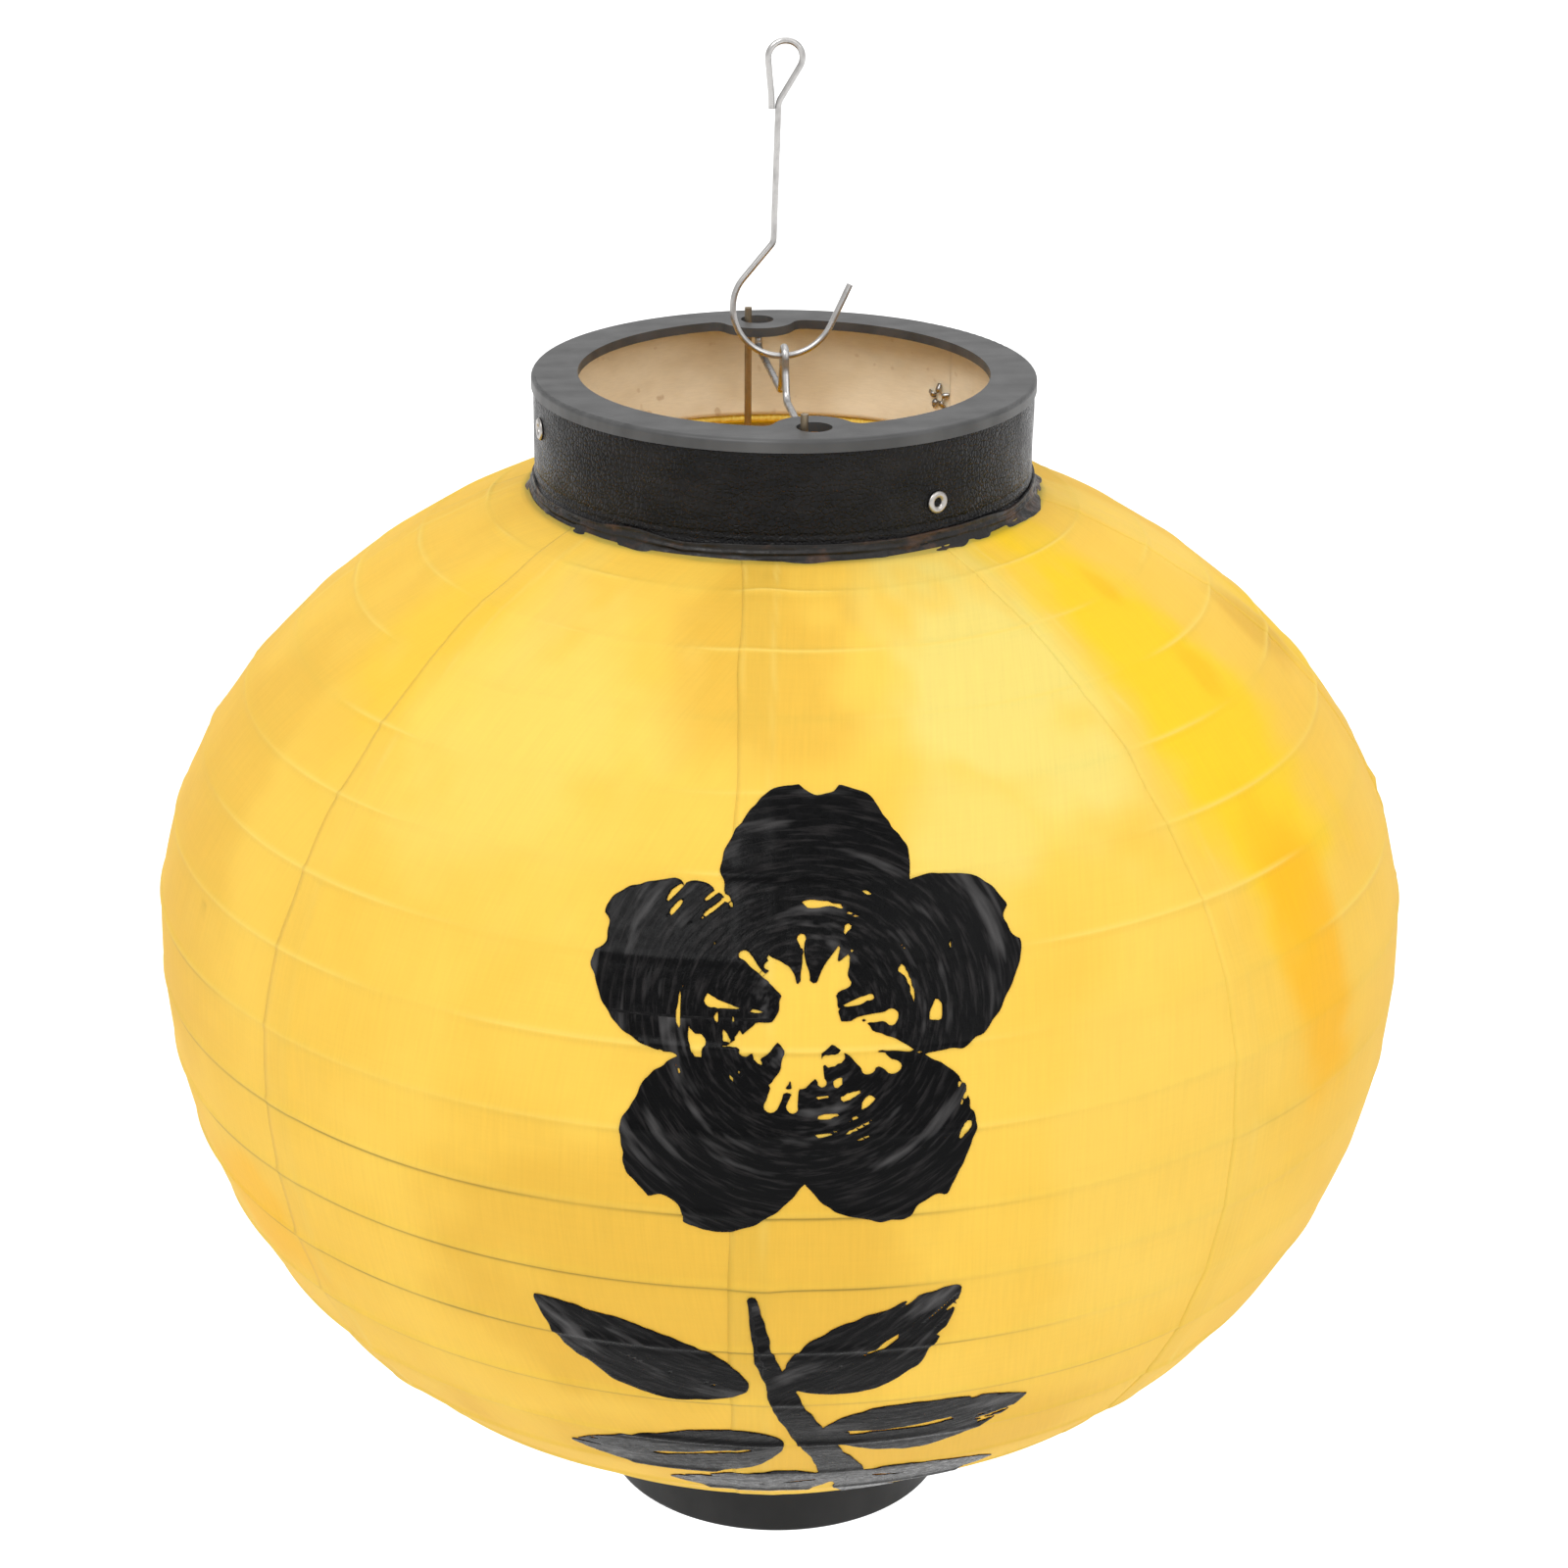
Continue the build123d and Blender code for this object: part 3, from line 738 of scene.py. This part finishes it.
def leaf(x, y, root_x, root_y, aim, length, half, seed):
    aim = math.radians(aim)
    dx, dy = x - root_x, y - root_y
    along = dx * math.cos(aim) + dy * math.sin(aim)
    across = -dx * math.sin(aim) + dy * math.cos(aim)
    t = along / length
    across = across - 3.0 * np.sin(math.pi * np.clip(t, 0, 1)) * (1 if seed % 2 else -1)
    shape = np.clip(t, 0, 1) ** 0.62 * np.clip(1 - t, 0, 1) ** 0.9 * 2.05
    inside = half * shape - np.abs(across)
    past_end = np.hypot(np.maximum(-along, along - length), across)
    inside = np.where((t < 0) | (t > 1), -past_end - 0.5, inside)
    vein = 0.4 * (1 - t) - np.abs(across + 0.4)
    inside = np.minimum(inside, np.where((t > 0.12) & (t < 0.62), -vein, 99))
    streak = noise(along / 9, across / 0.8, seed) - 0.35
    split = -streak * 3 * (t - 0.6) * 4 + 0.6
    inside = np.where((t > 0.72) & (inside > 0), np.minimum(inside, split), inside)
    return inside, np.stack([along, across, 0 * along], axis=-1)


def sprig(x, y):
    """Ink depth and brush direction for the stem and its leaves."""
    inside = np.full(x.shape, -99.0)
    brush = np.stack([x, y, 0 * x], axis=-1)
    for number, shape in enumerate(LEAVES):
        depth, way = leaf(x, y, *shape, seed=80 + number)
        brush = np.where((depth > inside)[..., None], way, brush)
        inside = np.maximum(inside, depth)
    for (x0, y0, w0), (x1, y1, w1) in zip(STEM, STEM[1:]):
        run = math.hypot(x1 - x0, y1 - y0)
        along = ((x - x0) * (x1 - x0) + (y - y0) * (y1 - y0)) / run
        t = np.clip(along / run, 0, 1)
        away = np.hypot(x - x0 - (x1 - x0) * t, y - y0 - (y1 - y0) * t)
        inside = np.maximum(inside, w0 + (w1 - w0) * t - away)
    return inside + rough_edge(x, y, 91) * 0.7, brush


def contour_mesh(values):
    """The part of a grid where values are positive, cut cleanly along the zero line.

    Returns points as (row, column) positions, which may lie between grid points, and faces."""
    points, index, faces = [], {}, []

    def corner(i, j):
        key = (i, j)
        if key not in index:
            index[key] = len(points)
            points.append((float(i), float(j)))
        return index[key]

    def crossing(a, b):
        key = (min(a, b), max(a, b))
        if key not in index:
            (i0, j0), (i1, j1) = key
            v0, v1 = values[i0, j0], values[i1, j1]
            t = min(max(v0 / (v0 - v1), 0.03), 0.97)
            index[key] = len(points)
            points.append((i0 + (i1 - i0) * t, j0 + (j1 - j0) * t))
        return index[key]

    wet = values > 0
    some = wet[:-1, :-1] | wet[1:, :-1] | wet[1:, 1:] | wet[:-1, 1:]
    for i, j in zip(*np.nonzero(some)):
        around = [(i, j), (i + 1, j), (i + 1, j + 1), (i, j + 1)]
        ring = []
        for a, b in zip(around, around[1:] + around[:1]):
            if wet[a]:
                ring.append(corner(*a))
            if wet[a] != wet[b]:
                ring.append(crossing(a, b))
        if len(ring) >= 3:
            faces.append(tuple(ring))
    return np.array(points), faces


def make_ink(name, drawing, x_range, y_range):
    """A motif as a thin film of paint lying on the cloth."""
    xs = np.arange(*x_range, INK_CELL)
    ys = np.arange(*y_range, INK_CELL)
    x, y = np.meshgrid(xs, ys)
    inside, brush = drawing(x, y)
    inside[0, :] = inside[-1, :] = inside[:, 0] = inside[:, -1] = -1
    spots, faces = contour_mesh(inside)
    spot_x = xs[0] + spots[:, 1] * INK_CELL
    spot_y = ys[0] + spots[:, 0] * INK_CELL
    bay = np.interp(spot_y * MM, fine_run, fine_bay)
    radius = np.interp(bay, fine_bay, fine_line[:, 0])
    angle = FRONT + spot_x * MM / radius
    under = top_lift(angle, bay)
    top = on_cloth(angle, bay, under + (INK_THICK + INK_CLEAR) * MM)
    bottom = on_cloth(angle, bay, under + INK_CLEAR * MM)
    count = len(spots)
    sides = {}
    for face in faces:
        for a, b in zip(face, face[1:] + face[:1]):
            if (b, a) in sides:
                del sides[(b, a)]
            else:
                sides[(a, b)] = True
    closed = [tuple(f) for f in faces]
    closed += [tuple(v + count for v in reversed(f)) for f in faces]
    closed += [(b, a, a + count, b + count) for a, b in sides]
    ink = new_piece(name, np.concatenate([top, bottom]), closed)
    rows = np.clip(np.round(spots[:, 0]).astype(int), 0, len(ys) - 1)
    columns = np.clip(np.round(spots[:, 1]).astype(int), 0, len(xs) - 1)
    store(ink, "stroke_place", np.concatenate([brush[rows, columns] * MM] * 2))
    ink.data.materials.append(ink_paint)
    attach(ink, "collar")
    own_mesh(ink)


ink_paint = ink_material()
make_ink("painted_blossom", blossom, (-54, 66), (56, 168))
make_ink("painted_sprig", sprig, (-70, 66), (168, 290))


# ------------------------------------------------------------------ collar
def ring_grid(section, columns=360):
    """A grid swept round Z: section(angle, row) gives (radius, height) for each row."""
    angle = np.linspace(0, 2 * math.pi, columns, endpoint=False)
    radius, height = section(angle)
    return np.stack([radius * np.cos(angle), radius * np.sin(angle), height], axis=-1)


def eyelet_middles():
    """(angle, height) of each eyelet, from the separate groups of points in the CAD node."""
    points = np.array([v.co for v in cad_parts["top_eyelets"].data.vertices])
    turns = np.arctan2(points[:, 1], points[:, 0])
    order = np.argsort(turns)
    breaks = np.where(np.diff(turns[order]) > math.radians(20))[0] + 1
    groups = np.split(order, breaks)
    if abs(turns[order[0]] - turns[order[-1]] + 2 * math.pi) < math.radians(20):
        groups[0] = np.concatenate([groups[0], groups.pop()])
    middles = []
    for group in groups:
        middle = points[group].mean(axis=0)
        middles.append((math.atan2(middle[1], middle[0]), float(middle[2])))
    return middles


eyelets_at = eyelet_middles()
LINER_DEPTH = 2.2 * MM


def make_band():
    """Vinyl strip round the collar, with a lapped end, two low creases and a slight flare."""
    heights = np.concatenate([
        np.linspace(band_high.z, band_low.z + 7 * MM, 14),
        np.linspace(band_low.z + 6.6 * MM, band_low.z - 0.4 * MM, 22),
    ])[:, None]
    lap_at = math.radians(150)

    def section(angle):
        turn = angle[None, :] / (2 * math.pi)
        above = (heights - band_low.z) / MM
        wave = noise(turn * 12, above / 9, 31, 12) * 0.16 * MM
        crease = np.exp(-(((above - 4.6 - 0.5 * noise(turn * 9, 0.5, 33, 9)) / 0.35) ** 2)) * 0.22 * MM
        second = np.exp(-(((above - 2.6 - 0.6 * noise(turn * 7, 2.5, 34, 7)) / 0.35) ** 2)) * 0.25 * MM
        flare = (1 - step(above, 0, 4.5)) * (0.55 + 0.35 * noise(turn * 16, 0.3, 35, 16)) * MM
        dips = np.zeros_like(wave)
        for at, height in eyelets_at:
            far = np.hypot(wrap_angle(angle[None, :] - at) * band_radius, heights - height)
            dips += np.exp(-((far / (3.0 * MM)) ** 2)) * 0.22 * MM
        lap = step(wrap_angle(angle[None, :] - lap_at) * band_radius, -0.3 * MM, 0.3 * MM)
        lap *= 1 - step(wrap_angle(angle[None, :] - lap_at) * band_radius, 9 * MM, 14 * MM)
        held = step(above, 23.5, 21)
        radius = band_radius + (wave + flare - crease - second - dips + lap * 0.4 * MM) * held
        return radius - 0.1 * MM, heights + 0 * turn

    band = shell("top_band_vinyl", ring_grid(section, 420), 1.0 * MM, closed=True)
    band.data.materials.append(vinyl_material())
    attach(band, "collar")
    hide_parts("top_band")


def make_liner():
    """Tan card strip inside the collar, longer than a full turn, so its end laps over."""
    outer = band_radius - 1.3 * MM
    lap_at = FRONT + math.radians(124)
    low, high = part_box("top_liner")
    heights = np.linspace(high.z, low.z, 24)[:, None]
    angle = np.linspace(lap_at - 2 * math.pi, lap_at + 9 * MM / outer, 380)[None, :]
    turn = angle / (2 * math.pi)
    wave = noise(turn * 10, heights * 60, 41, 10) * 0.12 * MM
    lapped = step(angle, lap_at - 6 * MM / outer, lap_at - 1 * MM / outer)
    radius = outer - wave - lapped * 1.0 * MM
    for across, drop in ((-6.5, 7.5), (0.0, 7.2)):
        dent = FRONT + math.pi - math.radians(24) + across * MM / outer
        far = np.hypot(wrap_angle(angle - dent) * outer, heights - (high.z - drop * MM))
        radius = radius + np.exp(-((far / (1.0 * MM)) ** 2)) * 0.5 * MM
    grid = np.stack([radius * np.cos(angle), radius * np.sin(angle), heights + 0 * angle], axis=-1)
    liner = shell("top_liner_card", grid, 0.8 * MM)
    liner.data.materials.append(liner_material())
    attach(liner, "collar")
    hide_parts("top_liner")


def make_binding(name, node, radius, height, way, flare, body, seed):
    """Glued cloth edge: it hugs the band, rolls over a bead and flares out ragged on the cloth."""
    columns, rows = 480, 22
    angle = np.linspace(0, 2 * math.pi, columns, endpoint=False)[None, :]
    t = np.linspace(0, 1, rows)[:, None]
    turn = angle / (2 * math.pi)
    broad = 0.34 * noise(turn * 18, 0.2, seed, 18)
    small = 0.26 * noise(turn * 75, 1.4, seed + 1, 75)
    reach = flare * (0.66 + broad + small)
    top = 3.6 * MM + 0.7 * MM * noise(turn * 30, 3.1, seed + 2, 30)
    out = (np.maximum(t - 0.45, 0.0) / 0.55) ** 1.5 * reach
    bead = np.exp(-(((t - 0.42) / 0.1) ** 2)) * 0.5 * MM * (0.8 + 0.6 * noise(turn * 26, 7.7, seed + 3, 26))
    lumps = noise(turn * 120, t * 6, seed + 4, 120) * 0.14 * MM
    lumps = lumps + noise(turn * 44, t * 3, seed + 5, 44) * 0.16 * MM
    drop = top * (1 - t) - 0.9 * MM * t * (1 + 0.5 * noise(turn * 52, 5.1, seed + 6, 52))
    r = radius + 0.55 * MM + out + bead + lumps * step(t, 0.02, 0.2)
    z = height + way * drop + 0 * angle
    grid = np.stack([r * np.cos(angle), r * np.sin(angle), z], axis=-1)
    if way < 0:
        grid = grid[::-1]
    edge = shell(name, grid, 0.45 * MM, closed=True)
    edge.data.materials.append(glued_edge)
    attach(edge, body)
    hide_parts(node)


def make_eyelets():
    """Rolled steel eyelets; inside the collar each barrel is split into curled petals."""
    points, faces = [], []
    rounds, petals = 40, 5
    # (radius, height off the band) in millimetres, from inside the barrel out over the rolled flange
    profile = [
        (1.05, -1.6), (1.08, 0.0), (1.18, 0.22), (1.45, 0.42),
        (1.85, 0.5), (2.25, 0.42), (2.5, 0.16), (2.42, 0.0),
    ]
    for at, height in eyelets_at:
        out = Vector((math.cos(at), math.sin(at), 0))
        side = Vector((-math.sin(at), math.cos(at), 0))
        up = Vector((0, 0, 1))
        middle = out * (band_radius - 0.1 * MM) + up * height
        start = len(points)
        for r, depth in profile:
            for i in range(rounds):
                a = 2 * math.pi * i / rounds
                points.append(middle + (side * math.cos(a) + up * math.sin(a)) * r * MM + out * depth * MM)
        for row in range(len(profile) - 1):
            for i in range(rounds):
                k = (i + 1) % rounds
                a = start + row * rounds
                faces.append((a + i, a + k, a + rounds + k, a + rounds + i))
        for p in range(petals):
            first = 2 * math.pi * p / petals + 0.3
            start = len(points)
            steps = 6
            for j in range(steps + 1):
                t = j / steps
                half = (0.52 - 0.34 * t) * 1.05
                lift = 1.1 + 2.3 * t**1.2
                depth = -LINER_DEPTH / MM - 0.7 * math.sin(math.pi * min(t * 1.15, 1)) - 0.25
                for i in (-1, 0, 1):
                    a = first + i * half * (1 - 0.35 * t)
                    ray = side * math.cos(a) + up * math.sin(a)
                    points.append(middle + ray * lift * MM + out * depth * MM)
            for j in range(steps):
                for i in range(2):
                    a = start + j * 3 + i
                    faces.append((a, a + 1, a + 4, a + 3))
    eyelets = new_piece("collar_eyelets", points, faces)
    thick = eyelets.modifiers.new("thick", "SOLIDIFY")
    thick.thickness = 0.22 * MM
    thick.offset = 0
    eyelets.data.materials.append(eyelet_steel)
    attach(eyelets, "collar")
    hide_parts("top_eyelets")


def dress(nodes, material):
    """Gives CAD nodes a material in place of the record's plain one."""
    for name in nodes:
        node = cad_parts[name]
        if not node.material_slots:
            node.data.materials.append(material)
        for slot in node.material_slots:
            slot.material = material


glued_edge = glued_edge_material()
eyelet_steel = wire_material("eyelet_steel", (0.42, 0.40, 0.38), 0.30)
make_band()
make_liner()
make_eyelets()
make_binding("top_glued_edge", "top_binding", band_radius, neck_z, 1, 3.0 * MM, "collar", 51)
base_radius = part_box("bottom_band")[1].x
make_binding("bottom_glued_edge", "bottom_binding", base_radius, foot_z, -1, 1.6 * MM, "base", 61)
# The top rim's black is lighter than the base's: partly a painted reflection of the light above its top
# face.
dress(["top_rim"], rim_material("rim_plastic_painted_reflection", 0.030, 0.055, 0.5))
dress(["bottom_rim", "bottom_band"], rim_material("base_plastic", 0.008, 0.016, 0.2))
dress(["bottom_liner"], bpy.data.materials["liner_card"])
bright_wire = wire_material("bright_wire", (0.46, 0.45, 0.44), 0.24)
dress(["hanging_hook", "bail_wire"], bright_wire)
dress(["stay_front", "stay_rear"], wire_material("stay_wire", (0.36, 0.29, 0.20), 0.34))
dress(hoop_names, wire_material("hoop_wire", (0.50, 0.46, 0.40), 0.38))
dress(["top_end_hoop", "bottom_end_hoop"], wrapped_material())


# ------------------------------------------------------------------ floor, light and camera
FLOOR_BELOW = 0.9
# The camera, fitted to the outline: distances in metres from the body's widest place, angles in
# degrees, lens in millimetres.
CAMERA_SIDE = 0.0008
CAMERA_BACK = 0.7811
CAMERA_UP = 0.338
CAMERA_PITCH = 21.69
CAMERA_ROLL = 0.5
CAMERA_LENS = 79.5
WIDEST_ABOVE_MIDDLE = 13.4 * MM


def soft_sun(name, bearing, height, spread, strength):
    """Soft even light from a bearing (degrees right of the camera) and a height above level."""
    light = bpy.data.lights.new(name, "SUN")
    light.angle, light.energy = math.radians(spread), strength
    obj = bpy.data.objects.new(name, light)
    bpy.context.scene.collection.objects.link(obj)
    around = FRONT + math.radians(bearing)
    level = math.cos(math.radians(height))
    source = Vector((math.cos(around) * level, math.sin(around) * level, math.sin(math.radians(height))))
    obj.rotation_mode = "QUATERNION"
    obj.rotation_quaternion = source.to_track_quat("Z", "Y")


def studio():
    """A pale floor well below the hanging lantern, a pale surround and three soft lights."""
    ground = base_z - FLOOR_BELOW
    half = 40.0
    corners = [(-half, -half, ground), (half, -half, ground), (half, half, ground), (-half, half, ground)]
    floor = new_piece("floor", corners, [(0, 1, 2, 3)], smooth=False)
    floor.data.materials.append(floor_material())
    world = bpy.data.worlds.new("studio")
    bpy.context.scene.world = world
    world.use_nodes = True
    world.node_tree.nodes["Background"].inputs["Color"].default_value = (1, 1, 1, 1)
    world.node_tree.nodes["Background"].inputs["Strength"].default_value = 0.84
    bpy.context.scene.view_settings.view_transform = "Standard"
    soft_sun("key", -35, 50, 36, 1.6)
    soft_sun("fill", 48, 34, 50, 0.85)
    soft_sun("crown", 170, 66, 60, 0.75)


def camera():
    """Above the mouth and looking down at the lantern, as in the photograph."""
    data = bpy.data.cameras.new("camera")
    data.lens, data.sensor_width = CAMERA_LENS, 36.0
    data.clip_start, data.clip_end = 0.05, 60.0
    obj = bpy.data.objects.new("camera", data)
    bpy.context.scene.collection.objects.link(obj)
    widest_z = (rim_top_z + base_z) / 2 + WIDEST_ABOVE_MIDDLE
    turn = Matrix.Rotation(math.radians(VIEW_TURN), 4, "Z")
    tilt = Matrix.Rotation(math.radians(90 - CAMERA_PITCH), 4, "X")
    roll = Matrix.Rotation(math.radians(CAMERA_ROLL), 4, "Z")
    place = turn @ Vector((CAMERA_SIDE, -CAMERA_BACK, widest_z + CAMERA_UP))
    obj.matrix_world = Matrix.Translation(place) @ turn @ tilt @ roll
    bpy.context.scene.camera = obj


studio()
camera()
